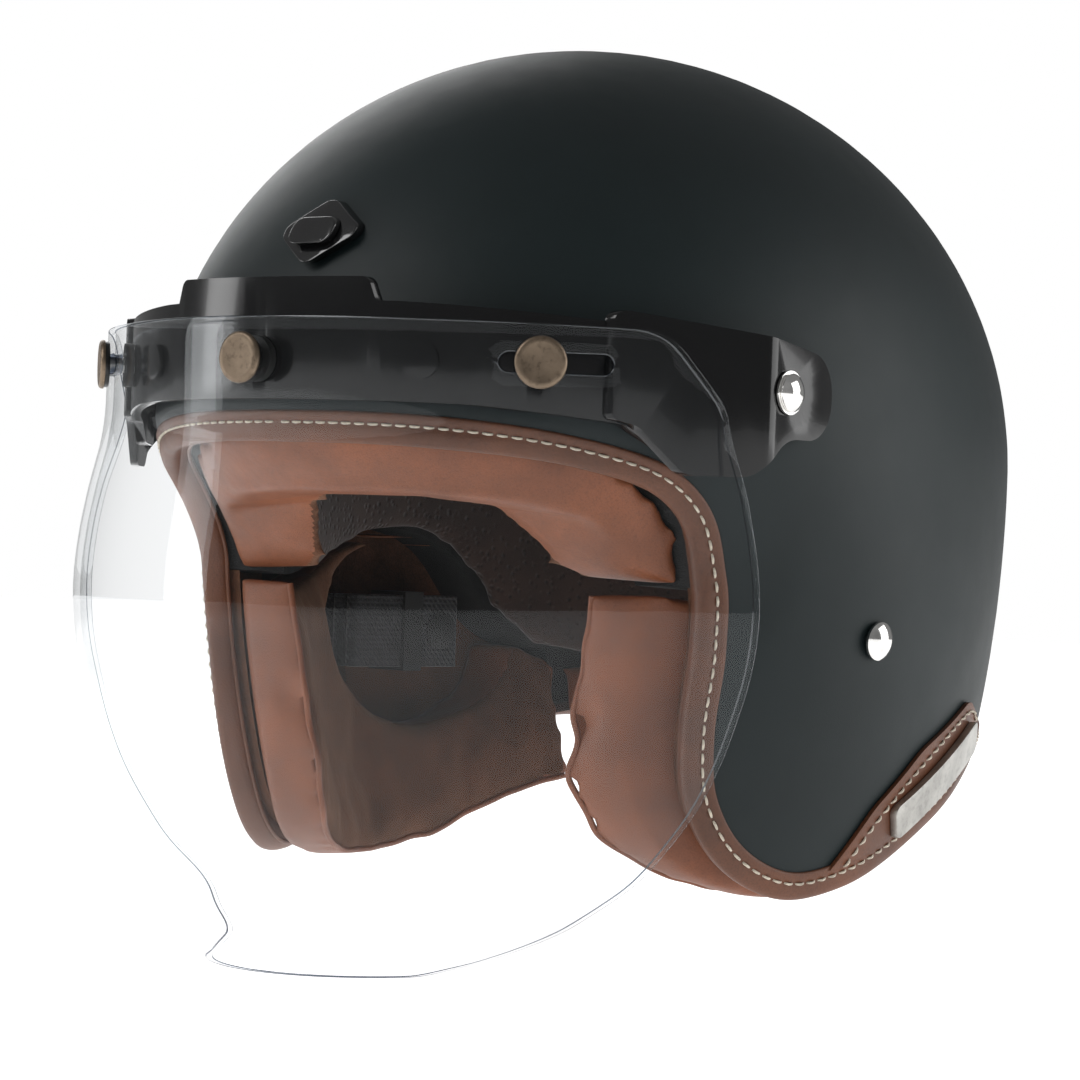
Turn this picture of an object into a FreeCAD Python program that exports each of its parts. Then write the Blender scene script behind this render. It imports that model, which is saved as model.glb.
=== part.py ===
import FreeCAD, Part
import math
import os

# Open face helmet with a clear bubble shield on a flip-up band.
# Frame in millimetres: +X is the wearer's left, -Y the front, +Z up. The origin is the centre of the
# head space on the symmetry plane, level with the shell's widest line.

V = FreeCAD.Vector
FAR = 260.0                     # half side of the cutting blocks, beyond every piece
SIDES = {"left": 1, "right": -1}

# Shell skin: an egg whose upper and lower halves have their own heights
HALF_WIDTH = 126.2
HALF_LENGTH = 149.6
CROWN_HEIGHT = 129.9
SKIRT_HEIGHT = 244.2            # the skirt is cut off long before it closes at this depth
JAW_DRAW_IN = 0.225             # share by which the front of the skirt is drawn back at the jaw
JAW_DRAW_TOP = 12.0
JAW_DRAW_BOTTOM = -36.0
MAP_REACH = 2.15                # half side of the flat map that is wrapped over the egg
MAP_STEPS = 40

# Edge of the shell in side view as (y, z), from the brow down the cheek and back to the nape
SHELL_EDGE = [(-175, 9.5), (-140, 8), (-109, 2), (-90, -5), (-76.5, -17), (-69, -33), (-66.5, -55),
              (-65.5, -80), (-61, -99), (-50, -114), (-34, -121.5), (-14, -118.5), (32, -99.5),
              (68, -84.5), (105, -78), (175, -84)]
# Lower edge of the cheek pads and neck roll in side view; they hang a little below the shell
PAD_EDGE = [(-175, 0), (-120, 0), (-100, -6), (-84, -22), (-76, -36), (-73.5, -55), (-72.5, -80),
            (-67.7, -102), (-55, -119), (-36, -128), (-14, -130.5), (8, -129), (27, -125), (44, -118),
            (75, -106), (105, -94), (175, -90)]
# Lower edge of the crown liner in side view, arched over the ear
LINER_EDGE = [(-175, -38), (-70, -38), (-28, -37), (-2, -27), (22, -23.5), (44, -31), (62, -56),
              (80, -65), (115, -69), (175, -71)]
# Lower edge of the brow pad in side view
BROW_EDGE = [(-175, -11), (-118, -11), (-97, -15), (-83, -25), (-76, -33.5), (-60, -37)]

# Layers, as distances outwards from the skin
SHELL_THICKNESS = 4.0
LAYER_GAP = 0.3
FOAM_DEPTH = 27.0               # inner face of the thick foam
CORE_DEPTH = 11.7               # inner face of the thin foam behind the cheek pads
CROWN_LINER_DEPTH = 35.0
CHEEK_PAD_DEPTH = 31.0
NECK_ROLL_DEPTH = 37.0
BROW_PAD_DEPTH = 36.0
TRIM_DEPTH = 7.5
TRIM_PROUD = 0.9
TRIM_REACH = 8.0                # how far the leather edging stands past the shell's edge
SEAT_GAP = 0.15                 # between a leather or metal piece and what it lies on
BROW_PAD_FRONT = 8.5            # outer face of the brow pad
BROW_BACK = -60.5               # y where the brow pad ends
CHEEK_BACK = 76.0               # y where the cheek pad ends and the neck begins
EAR_CENTRE = (22.0, -57.0)      # ear pocket, (y, z)
EAR_RADII = (40.0, 31.0)
WINDOW_SIZE = (40.0, 46.0, 40.0)        # opening in each cheek core for the strap anchor, (x, y, z)
WINDOW_CORNER = (95.0, -34.0, -76.0)    # its lowest corner on the left

# Leather side patch and the plain metal badge on it, in side view
PATCH_OUTLINE = [(-26, -128, 0), (-7, -101.5, 30), (14, -84.5, 30), (46, -70, 9), (62, -77, 6),
                 (70, -95, 0), (20, -140, 0)]
PATCH_THICKNESS = 1.6
BADGE_CENTRE = (27.5, -94.0)
BADGE_LENGTH = 56.0
BADGE_HEIGHT = 11.0
BADGE_CORNER = 2.5
BADGE_SLOPE = 27.8
BADGE_TOP = 4.3

# Plain emblem on the forehead, in front view
EMBLEM_HEIGHT = 62.5
EMBLEM_HALF = (16.0, 10.5)
EMBLEM_CORNERS = (3.0, 5.0)      # rounding at the sides, and at the top and bottom
BOSS_HALF = (8.0, 4.0)
BOSS_CORNER = 3.5
EMBLEM_BASE_TOP = 3.4
EMBLEM_BOSS_TOP = 6.0

# Flip-up band: a plan arc that runs on straight into two flat ears on the pivot
BAND_CENTRE_Y = -43.0
BAND_RADIUS = 115.6             # outer face
BAND_THICKNESS = 3.0
STRIP_BOTTOM = -30.0            # tall strip that the band and ears are cut from
STRIP_TOP = 70.0
BAND_ARC_END = 53.0             # degrees from the front where the arc turns straight
EAR_FACE_X = 119.2              # inner face of the flat ear
EAR_BEND = 4.0
EAR_THICKNESS = 2.6
EAR_END_Y = -40.0
JOINT_GAP = 0.1                 # glued faces
BAND_OUTLINE = [(-190, 42, 0), (-150, 40.5, 0), (-118, 37, 0), (-84, 33, 3), (-84, 1, 3),
                (-101, 1.5, 6), (-110, 8, 8), (-140, 12, 30), (-190, 14, 0)]
BAND_RISE_OUTLINE = [(-41, 30, 0), (-35, 47.4, 3), (35, 47.4, 3), (41, 30, 0)]
PIVOT_Y = -70.0
PIVOT_Z = 19.0
EAR_OUTLINE = [(-115.5, 40.3, 3), (-92, 36.7, 30), (-47.3, 29.5, 11.5), (-47.3, 5.8, 11.5), (-70, 5.8, 14),
               (-82.5, -5.6, 7), (-98, -5.6, 5), (-109, 7.5, 6), (-115.5, 9.5, 2)]

# Clear bubble: front line and side line at each height, joined by circular arcs in plan
BUBBLE_SIDE_Y = -91.5
BUBBLE_THICKNESS = 2.4
BUBBLE_FRONT = [(-160, -150.7), (-150, -151.2), (-140, -150.1), (-132, -149), (-122, -150.6), (-112, -154.8),
                (-100, -159.2), (-88, -161.8), (-76, -163.6), (-60, -165.3), (-44, -166), (-28, -165),
                (-12, -163.3), (0, -162.6), (10, -163.6), (25, -164.2), (52, -164.2)]
BUBBLE_SIDE = [(-160, 36), (-150, 43.6), (-140, 64.9), (-132, 76.1), (-122, 90.9), (-112, 101), (-100, 110.9),
               (-88, 117.9), (-76, 123), (-60, 128.2), (-44, 130.2), (-28, 128.7), (-12, 124.6), (0, 119.6),
               (10, 116.2), (25, 115.3), (52, 115)]
BUBBLE_OUTLINE = [(-190, 37.3, 0), (-150, 35.4, 0), (-107, 34.3, 15), (-90.8, 13, 12), (-92.2, -20, 60),
                  (-92.2, -134, 12), (-106, -146.2, 22), (-126, -150.7, 30), (-190, -152, 0)]
BUBBLE_LOW = -160.0
BUBBLE_HIGH = 52.0
BUBBLE_HALF_TURN = 82.0
BUBBLE_STEPS = 40
SLOT_LENGTH = 32.0
SLOT_HEIGHT = 5.6
SLOT_SHIFT = 4.6                # how far each slot's middle lies outwards from its stud
SLOT_CUT = (90.0, 150.0)        # reach of the slots, from the band's centre

# Snap fasteners through band and bubble
SNAP_ANGLES = {"left": 42.0, "centre": 0.0, "right": -42.0}
SNAP_Z = 24.0
SNAP_SHANK_RADIUS = 2.4
SNAP_FOOT_RADIUS = 5.0
SNAP_FOOT_THICKNESS = 1.1
SNAP_FOOT_GAP = 0.2
SNAP_HOLE_GAP = 0.3             # round the stud's shank in the bubble
SNAP_CUT = (105.0, 135.0)       # reach of the holes, from the band's centre
SPACER_RADIUS = 6.6
SPACER_THICKNESS = 2.5
SPACER_GAP = 0.25
CAP_RADIUS = 7.4
CAP_THICKNESS = 3.0
CAP_BORE_DEPTH = 1.9
CAP_ROUND = 1.1
CAP_START = {"left": 123.0, "centre": 122.0, "right": 123.0}    # distance from the band's centre
STUD_END_GAP = 0.3
RUNNING_CLEARANCE = 0.05
BUTTON_ANGLE = 25.7
BUTTON_RADIUS = 5.25
BUTTON_THICKNESS = 1.4
BUTTON_GAP = 0.2

# Pivot and strap rivets
PIVOT_SHANK_RADIUS = 3.0
PIVOT_GAP = 0.3
PIVOT_BUSH_RADII = (11.0, 6.3)
PIVOT_BUSH_X = 98.0
PIVOT_CUT = (90.0, 130.0)       # x reach of the holes round the pivot axis
PIVOT_WASHER_RADIUS = 6.3
PIVOT_WASHER_THICKNESS = 0.7
PIVOT_TAIL_X = 100.0
PIVOT_TAIL_RADIUS = 5.0
PIVOT_TAIL_THICKNESS = 1.5
PIVOT_POCKET_RADIUS = 8.5
RIVET_HEAD_RADIUS = 5.5
RIVET_HEAD_HEIGHT = 3.0
STRAP_RIVET_AT = (122.3, -18.8, -51.5)
STRAP_RIVET_RADIUS = 5.7
STRAP_SHANK_RADIUS = 2.5
STRAP_SHANK_END = 8.1           # depth of the shank's inner end below the skin
STRAP_CUT = (-12.0, 4.0)        # reach of the strap rivet's hole, outwards from the skin
ANCHOR_FRONT = 9.0              # reach of the strap's steel tab in front of its rivet
ANCHOR_BACK = 20.0
ANCHOR_TAPER = 5.0
ANCHOR_CORNERS = (6.0, 4.0)
ANCHOR_THICKNESS = 1.4
ANCHOR_DEPTH = 7.8              # inner face of the tab below the skin

# Chin strap, folded into the ear pockets
STRAP_WIDTH = 24.0
STRAP_THICKNESS = 1.8
STRAP_Z = -57.0
STRAP_START = (112.6, -4.0)
RING_WIRE_RADIUS = 1.5
RING_BAR_Y = 34.0
RING_BAR_X = {"outer": 95.0, "inner": 91.7}
RING_HALF_HEIGHT = 14.8
RING_STRAIGHT = 7.0
RING_CORNER = 3.0
RING_REST_TURN = 12.0
FOLD_START = (107.0, 2.0)
FOLD_SLOPE = 9.9                # degrees that the folded runs lean inwards towards the back
FOLD_LENGTH = 44.0
FOLD_PITCH = 3.4
FOLD_RUNS = 5
LOOP_GAP = 0.08                 # between the rings' bars and the strap's loop
LOOP_END = (102.2, 8.5)         # where the loop's sewn end lies, (x, y)
KEEPER_RUN = (19.0, 27.0)       # places of the keeper's ends along the folded runs
KEEPER_WALL = 1.3
KEEPER_GAP = 0.1
FREE_END_SNAP = (6.0, 2.4)      # radius and height of the press stud at the strap's free end
FREE_END_MARGIN = 8.0           # from the stud's middle to the last fold


def save(shape, node):
    """Write one node as a plain solid."""
    shape.Solids[0].exportStep(os.path.join("parts", node + ".step"))


def blend(low, high, value):
    """Smooth step from 0 at low to 1 at high."""
    share = min(max((value - low) / (high - low), 0.0), 1.0)
    return share * share * (3 - 2 * share)


def smooth_value(points, at):
    """Value at a place on a smooth line through rising (place, value) points."""
    index = 0
    while index < len(points) - 2 and at > points[index + 1][0]:
        index += 1
    slopes = []
    for knot in (index, index + 1):
        before = points[max(knot - 1, 0)]
        after = points[min(knot + 1, len(points) - 1)]
        slopes.append((after[1] - before[1]) / (after[0] - before[0]))
    (start, low), (end, high) = points[index], points[index + 1]
    span = end - start
    share = (at - start) / span
    return (low * (1 + 2 * share) * (1 - share) ** 2 + high * share ** 2 * (3 - 2 * share)
            + slopes[0] * span * share * (1 - share) ** 2 - slopes[1] * span * share ** 2 * (1 - share))


def steps(low, high, count):
    return [low + (high - low) * index / count for index in range(count + 1)]


def surface_through(grid):
    surface = Part.BSplineSurface()
    surface.interpolate(grid)
    return surface.toShape()


def solid_between(inner, outer):
    """Solid between two faces that have the same edge layout."""
    walls = [Part.makeRuledSurface(a, b) for a, b in zip(inner.Edges, outer.Edges)]
    shell = Part.makeShell([inner, outer] + walls)
    shell.sewShape()
    solid = Part.makeSolid(shell)
    if solid.Volume < 0:
        solid.reverse()
    return solid


def skin_point(across, along, outset):
    """Point of the egg moved outwards by outset, for a place on the flat map centred on the crown."""
    square = across * across + along * along
    rise = (1 - square) / (1 + square)
    spread = 2 / (1 + square)
    z = rise * ((CROWN_HEIGHT if rise > 0 else SKIRT_HEIGHT) + outset)
    x = across * spread * (HALF_WIDTH + outset)
    y = along * spread * (HALF_LENGTH + outset)
    if y < 0:
        y *= 1 - JAW_DRAW_IN * (1 - blend(JAW_DRAW_BOTTOM, JAW_DRAW_TOP, z))
    return V(x, y, z)


def skin_face(outset):
    places = steps(-MAP_REACH, MAP_REACH, MAP_STEPS)
    return surface_through([[skin_point(across, along, outset) for along in places] for across in places])


def skin_layer(low, high):
    """Layer of the egg between two outsets."""
    return solid_between(skin_face(low), skin_face(high))


def moved_line(points, shift):
    """Smooth side-view line through (y, z) points, moved to the side that faces away from the shell."""
    curve = Part.BSplineCurve()
    curve.interpolate([V(-FAR, y, z) for y, z in points])
    moved = []
    for parameter in steps(curve.FirstParameter, curve.LastParameter, 3 * len(points)):
        along = curve.tangent(parameter)[0]
        moved.append(curve.value(parameter) + V(0, along.z, -along.y) * shift)
    return moved


def above(points, shift=0.0):
    """Block of everything above a side-view line moved by shift."""
    line = moved_line(points, shift)
    curve = Part.BSplineCurve()
    curve.interpolate(line)
    first, last = line[0], line[-1]
    corners = [last, V(-FAR, FAR, last.z), V(-FAR, FAR, FAR), V(-FAR, -FAR, FAR), V(-FAR, -FAR, first.z),
               first]
    wire = Part.Wire([curve.toShape()] + Part.makePolygon(corners).Edges)
    return Part.Face(wire).extrude(V(2 * FAR, 0, 0))


def rounded_edges(corners):
    """Edges of a closed outline through (a, b, radius) corners in the XY plane."""
    points = [V(a, b, 0) for a, b, _ in corners]
    arcs = []
    for index, (_, _, radius) in enumerate(corners):
        corner = points[index]
        back = (points[index - 1] - corner).normalize()
        ahead = (points[(index + 1) % len(points)] - corner).normalize()
        if radius == 0:
            arcs.append((corner, None, corner))
            continue
        half = back.getAngle(ahead) / 2
        middle = (back + ahead).normalize()
        centre = corner + middle * (radius / math.sin(half))
        reach = radius / math.tan(half)
        arcs.append((corner + back * reach, centre - middle * radius, corner + ahead * reach))
    edges = []
    for index, (start, through, end) in enumerate(arcs):
        if through is not None:
            edges.append(Part.Arc(start, through, end).toShape())
        next_start = arcs[(index + 1) % len(arcs)][0]
        edges.append(Part.makeLine(end, next_start))
    return edges


def flat_face(corners):
    return Part.Face(Part.Wire(rounded_edges(corners)))


def side_prism(corners):
    """Block along X with a side-view outline of (y, z, radius) corners."""
    block = flat_face(corners).extrude(V(0, 0, 2 * FAR))
    block.rotate(V(0, 0, 0), V(1, 1, 1), 120)
    block.translate(V(-FAR, 0, 0))
    return block


def front_prism(corners):
    """Block along Y over the front half with a front-view outline of (x, z, radius) corners."""
    block = flat_face(corners).extrude(V(0, 0, FAR))
    block.rotate(V(0, 0, 0), V(1, 0, 0), 90)
    return block


def half_space(sign):
    return Part.makeBox(FAR, 2 * FAR, 2 * FAR, V(0 if sign > 0 else -FAR, -FAR, -FAR))


def behind(y):
    return Part.makeBox(2 * FAR, FAR, 2 * FAR, V(-FAR, y, -FAR))


def mirrored(shape, sign):
    return shape if sign > 0 else shape.mirror(V(0, 0, 0), V(1, 0, 0))


def rod(start, direction, radius, length):
    return Part.makeCylinder(radius, length, start, direction)


def dome_head(start, direction, radius, height):
    """Low domed rivet head with a thin straight rim."""
    rim = 0.25 * height
    rise = height - rim
    ball_radius = (radius * radius + rise * rise) / (2 * rise)
    ball = Part.makeSphere(ball_radius, V(0, 0, height - ball_radius))
    head = Part.makeCylinder(radius, height).common(ball)
    head.Placement = FreeCAD.Placement(start, FreeCAD.Rotation(V(0, 0, 1), direction))
    return head


def ear_pocket():
    """Oval block through both ears."""
    oval = Part.Ellipse(V(0, 0, 0), EAR_RADII[0], EAR_RADII[1]).toShape()
    block = Part.Face(Part.Wire(oval)).extrude(V(0, 0, 2 * FAR))
    block.rotate(V(0, 0, 0), V(1, 1, 1), 120)
    block.translate(V(-FAR, EAR_CENTRE[0], EAR_CENTRE[1]))
    return block


def pivot_rod(sign, radius, low, high):
    """Round piece on the pivot axis between two distances from the symmetry plane."""
    return rod(V(sign * low, PIVOT_Y, PIVOT_Z), V(sign, 0, 0), radius, high - low)


def strap_rivet_frame(sign):
    """Place on the skin and outward direction of the strap rivet."""
    x, y, z = STRAP_RIVET_AT
    outwards = V(sign * x / HALF_WIDTH ** 2, y / HALF_LENGTH ** 2, z / SKIRT_HEIGHT ** 2).normalize()
    return V(sign * x, y, z), outwards


def strap_rod(sign, radius, low, high):
    """Round piece on the strap rivet's axis between two outsets from the skin."""
    place, outwards = strap_rivet_frame(sign)
    return rod(place + outwards * low, outwards, radius, high - low)


def outer_shell():
    shell = skin_layer(-SHELL_THICKNESS, 0).common(above(SHELL_EDGE))
    for sign in SIDES.values():
        shell = shell.cut(pivot_rod(sign, PIVOT_SHANK_RADIUS + JOINT_GAP, PIVOT_TAIL_X, EAR_FACE_X))
        shell = shell.cut(strap_rod(sign, STRAP_SHANK_RADIUS + JOINT_GAP, *STRAP_CUT))
    return shell


def foam_and_cores():
    """Thick crown foam, and the thin foam plates behind the cheek pads."""
    edge = above(SHELL_EDGE, -1.0)
    crown_zone = above(LINER_EDGE, -1.0).fuse(behind(CHEEK_BACK))
    foam = skin_layer(-FOAM_DEPTH, -SHELL_THICKNESS - LAYER_GAP).common(edge).common(crown_zone)
    thin = skin_layer(-CORE_DEPTH, -SHELL_THICKNESS - LAYER_GAP).common(edge)
    thin = thin.cut(above(LINER_EDGE, -0.7)).cut(behind(CHEEK_BACK - LAYER_GAP))
    cores = {}
    for side, sign in SIDES.items():
        foam = foam.cut(pivot_rod(sign, PIVOT_POCKET_RADIUS, *PIVOT_CUT))
        window = Part.makeBox(*WINDOW_SIZE, V(*WINDOW_CORNER))
        cores[side] = thin.common(half_space(sign)).cut(mirrored(window, sign))
    return foam, cores


def crown_liner():
    zone = above(SHELL_EDGE, -5.0).common(above(LINER_EDGE))
    return skin_layer(-CROWN_LINER_DEPTH, -FOAM_DEPTH - LAYER_GAP).common(zone)


def brow_pad():
    layer = skin_layer(-BROW_PAD_DEPTH, -BROW_PAD_FRONT)
    zone = above(BROW_EDGE).cut(above(SHELL_EDGE, -0.4)).cut(behind(BROW_BACK))
    return layer.common(zone)


def cheek_pads():
    pad = skin_layer(-CHEEK_PAD_DEPTH, -CORE_DEPTH - LAYER_GAP).common(above(PAD_EDGE))
    pad = pad.cut(above(LINER_EDGE, 1.0)).cut(behind(CHEEK_BACK - LAYER_GAP)).cut(ear_pocket())
    return {side: pad.common(half_space(sign)) for side, sign in SIDES.items()}


def neck_pieces():
    """Neck roll inside the foam, and the skirt that closes the foam's underside at the nape."""
    neck_zone = behind(CHEEK_BACK + 0.5)
    roll = skin_layer(-NECK_ROLL_DEPTH, -FOAM_DEPTH - LAYER_GAP).common(above(PAD_EDGE))
    roll = roll.common(neck_zone).cut(above(LINER_EDGE, 0.8))
    skirt = skin_layer(-FOAM_DEPTH, -TRIM_DEPTH - LAYER_GAP).common(above(SHELL_EDGE, 2.0))
    skirt = skirt.common(neck_zone).cut(above(SHELL_EDGE, -0.7))
    return roll, skirt


def rim_trim():
    layer = skin_layer(-TRIM_DEPTH, TRIM_PROUD)
    return layer.common(above(SHELL_EDGE, TRIM_REACH)).cut(above(SHELL_EDGE, SEAT_GAP))


def side_patches():
    patch = skin_layer(SEAT_GAP, PATCH_THICKNESS).common(side_prism(PATCH_OUTLINE))
    patch = patch.common(above(SHELL_EDGE, -SEAT_GAP))
    return {side: patch.common(half_space(sign)) for side, sign in SIDES.items()}


def badges():
    half_length, half_height = BADGE_LENGTH / 2, BADGE_HEIGHT / 2
    turn = math.radians(BADGE_SLOPE)
    outline = []
    for a, b in ((-half_length, -half_height), (half_length, -half_height), (half_length, half_height),
                 (-half_length, half_height)):
        y = BADGE_CENTRE[0] + a * math.cos(turn) - b * math.sin(turn)
        z = BADGE_CENTRE[1] + a * math.sin(turn) + b * math.cos(turn)
        outline.append((y, z, BADGE_CORNER))
    badge = skin_layer(PATCH_THICKNESS + SEAT_GAP, BADGE_TOP).common(side_prism(outline))
    return {side: badge.common(half_space(sign)) for side, sign in SIDES.items()}


def emblem():
    """Plain lozenge with an oval boss on it."""
    half_wide, half_high = EMBLEM_HALF
    side_round, end_round = EMBLEM_CORNERS
    lozenge = [(-half_wide, EMBLEM_HEIGHT, side_round), (0, EMBLEM_HEIGHT + half_high, end_round),
               (half_wide, EMBLEM_HEIGHT, side_round), (0, EMBLEM_HEIGHT - half_high, end_round)]
    base = skin_layer(SEAT_GAP, EMBLEM_BASE_TOP).common(front_prism(lozenge))
    wide, high = BOSS_HALF
    oval = [(-wide, EMBLEM_HEIGHT - high, BOSS_CORNER), (wide, EMBLEM_HEIGHT - high, BOSS_CORNER),
            (wide, EMBLEM_HEIGHT + high, BOSS_CORNER), (-wide, EMBLEM_HEIGHT + high, BOSS_CORNER)]
    boss = skin_layer(EMBLEM_BASE_TOP + SEAT_GAP, EMBLEM_BOSS_TOP).common(front_prism(oval))
    return base, boss


def band_path(offset):
    """Plan points of the band's line on the left, from the arc's end to the ear's end."""
    turn = math.radians(BAND_ARC_END)
    radius = BAND_RADIUS + offset
    start = V(radius * math.sin(turn), BAND_CENTRE_Y - radius * math.cos(turn), 0)
    reach = (EAR_FACE_X + offset - start.x) / math.cos(turn)
    bend = V(EAR_FACE_X + offset, start.y + reach * math.sin(turn), 0)
    setback = (EAR_BEND + offset) * math.tan((math.pi / 2 - turn) / 2)
    before = bend - V(math.cos(turn), math.sin(turn), 0) * setback
    after = bend + V(0, setback, 0)
    end = V(EAR_FACE_X + offset, EAR_END_Y, 0)
    return start, before, after, end


def band_line(offset):
    """Wire of the whole band line in plan, from the right ear's end to the left's."""
    start, before, after, end = band_path(offset)
    turn = math.pi / 2 - math.radians(BAND_ARC_END)
    bend_centre = V(after.x - EAR_BEND - offset, after.y, 0)
    through = bend_centre + V(math.cos(turn / 2), -math.sin(turn / 2), 0) * (EAR_BEND + offset)
    front = V(0, BAND_CENTRE_Y - BAND_RADIUS - offset, 0)
    left = [Part.makeLine(start, before), Part.Arc(before, through, after).toShape(),
            Part.makeLine(after, end)]
    right = [edge.mirror(V(0, 0, 0), V(1, 0, 0)) for edge in left]
    middle = Part.Arc(V(-start.x, start.y, 0), front, start).toShape()
    return Part.Wire(Part.__sortEdges__(right + [middle] + left))


def band_ring(low, high):
    """Tall strip that follows the band between two offsets from its outer face."""
    inner, outer = band_line(low), band_line(high)
    ends = []
    for sign in SIDES.values():
        ends.append(Part.makeLine(V(sign * (EAR_FACE_X + low), EAR_END_Y, 0),
                                  V(sign * (EAR_FACE_X + high), EAR_END_Y, 0)))
    wire = Part.Wire(Part.__sortEdges__(inner.Edges + outer.Edges + ends))
    return Part.Face(wire).extrude(V(0, 0, STRIP_TOP - STRIP_BOTTOM)).translate(V(0, 0, STRIP_BOTTOM))


def snap_rod(angle, radius, low, high):
    """Round piece on a snap's axis between two distances from the band's centre."""
    turn = math.radians(angle)
    outwards = V(math.sin(turn), -math.cos(turn), 0)
    return rod(V(0, BAND_CENTRE_Y, SNAP_Z) + outwards * low, outwards, radius, high - low)


def visor_band():
    ring = band_ring(-BAND_THICKNESS, 0)
    strip = ring.common(side_prism(BAND_OUTLINE))
    rise = ring.common(front_prism(BAND_RISE_OUTLINE))
    band = strip.fuse(rise).removeSplitter()
    for angle in SNAP_ANGLES.values():
        band = band.cut(snap_rod(angle, SNAP_SHANK_RADIUS + JOINT_GAP, *SNAP_CUT))
    return band


def band_ears():
    ring = band_ring(JOINT_GAP, JOINT_GAP + EAR_THICKNESS)
    ears = ring.common(side_prism(EAR_OUTLINE))
    pieces = {}
    for side, sign in SIDES.items():
        bore = pivot_rod(sign, PIVOT_SHANK_RADIUS + RUNNING_CLEARANCE, *PIVOT_CUT)
        pieces[side] = ears.common(half_space(sign)).cut(bore)
    return pieces


def bubble_face(inset):
    grid = []
    for degrees in steps(-BUBBLE_HALF_TURN, BUBBLE_HALF_TURN, BUBBLE_STEPS):
        turn = math.radians(degrees)
        column = []
        for z in steps(BUBBLE_LOW, BUBBLE_HIGH, BUBBLE_STEPS):
            front = smooth_value(BUBBLE_FRONT, z) + inset
            half = smooth_value(BUBBLE_SIDE, z) - inset
            depth = BUBBLE_SIDE_Y - front
            radius = (depth * depth + half * half) / (2 * depth)
            column.append(V(radius * math.sin(turn), front + radius * (1 - math.cos(turn)), z))
        grid.append(column)
    return surface_through(grid)


def visor_bubble():
    bubble = solid_between(bubble_face(BUBBLE_THICKNESS), bubble_face(0))
    bubble = bubble.common(side_prism(BUBBLE_OUTLINE))
    for side, angle in SNAP_ANGLES.items():
        if side == "centre":
            bubble = bubble.cut(snap_rod(angle, SNAP_SHANK_RADIUS + SNAP_HOLE_GAP, *SNAP_CUT))
            continue
        end = SLOT_LENGTH / 2
        radius = SLOT_HEIGHT / 2 - 0.01
        slot = flat_face([(-end, -SLOT_HEIGHT / 2, radius), (end, -SLOT_HEIGHT / 2, radius),
                          (end, SLOT_HEIGHT / 2, radius), (-end, SLOT_HEIGHT / 2, radius)])
        cutter = slot.extrude(V(0, 0, SLOT_CUT[1] - SLOT_CUT[0]))
        cutter.rotate(V(0, 0, 0), V(1, 0, 0), 90)
        cutter.translate(V(SIDES[side] * SLOT_SHIFT, BAND_CENTRE_Y - SLOT_CUT[0], SNAP_Z))
        cutter.rotate(V(0, BAND_CENTRE_Y, 0), V(0, 0, 1), angle)
        bubble = bubble.cut(cutter)
    return bubble


def snap_stud(side, angle):
    """Stud with its foot inside the band, through spacer and bubble into its cap."""
    inner_face = BAND_RADIUS - BAND_THICKNESS
    foot_end = inner_face - SNAP_FOOT_GAP
    foot = snap_rod(angle, SNAP_FOOT_RADIUS, foot_end - SNAP_FOOT_THICKNESS, foot_end)
    end = CAP_START[side] + CAP_BORE_DEPTH - STUD_END_GAP
    shank = snap_rod(angle, SNAP_SHANK_RADIUS, inner_face - SNAP_FOOT_THICKNESS, end)
    return foot.fuse(shank).removeSplitter()


def snap_spacer(angle):
    low = BAND_RADIUS + SPACER_GAP
    ring = snap_rod(angle, SPACER_RADIUS, low, low + SPACER_THICKNESS)
    return ring.cut(snap_rod(angle, SNAP_SHANK_RADIUS + JOINT_GAP, *SNAP_CUT))


def snap_cap(side, angle):
    """Round press cap with a softened rim, turned on a blind bore over its stud."""
    low = CAP_START[side]
    cap = snap_rod(angle, CAP_RADIUS, low, low + CAP_THICKNESS)
    rims = [edge for edge in cap.Edges if edge.Curve.TypeId == "Part::GeomCircle"]
    turn = math.radians(angle)
    outwards = V(math.sin(turn), -math.cos(turn), 0)
    top = max(rims, key=lambda edge: edge.CenterOfMass.dot(outwards))
    cap = cap.makeFillet(CAP_ROUND, [top])
    return cap.cut(snap_rod(angle, SNAP_SHANK_RADIUS + RUNNING_CLEARANCE, low - 1, low + CAP_BORE_DEPTH))


def band_button(angle):
    low = BAND_RADIUS + BUTTON_GAP
    return snap_rod(angle, BUTTON_RADIUS, low, low + BUTTON_THICKNESS)


def pivot_bush(sign):
    """Tapered boss between the shell and the ear, hollow for the rivet."""
    length = EAR_FACE_X - PIVOT_GAP + JOINT_GAP - PIVOT_BUSH_X
    cone = Part.makeCone(*PIVOT_BUSH_RADII, length, V(sign * PIVOT_BUSH_X, PIVOT_Y, PIVOT_Z), V(sign, 0, 0))
    cone = cone.cut(skin_layer(-NECK_ROLL_DEPTH, SEAT_GAP))
    return cone.cut(pivot_rod(sign, PIVOT_SHANK_RADIUS + JOINT_GAP, *PIVOT_CUT))


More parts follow.
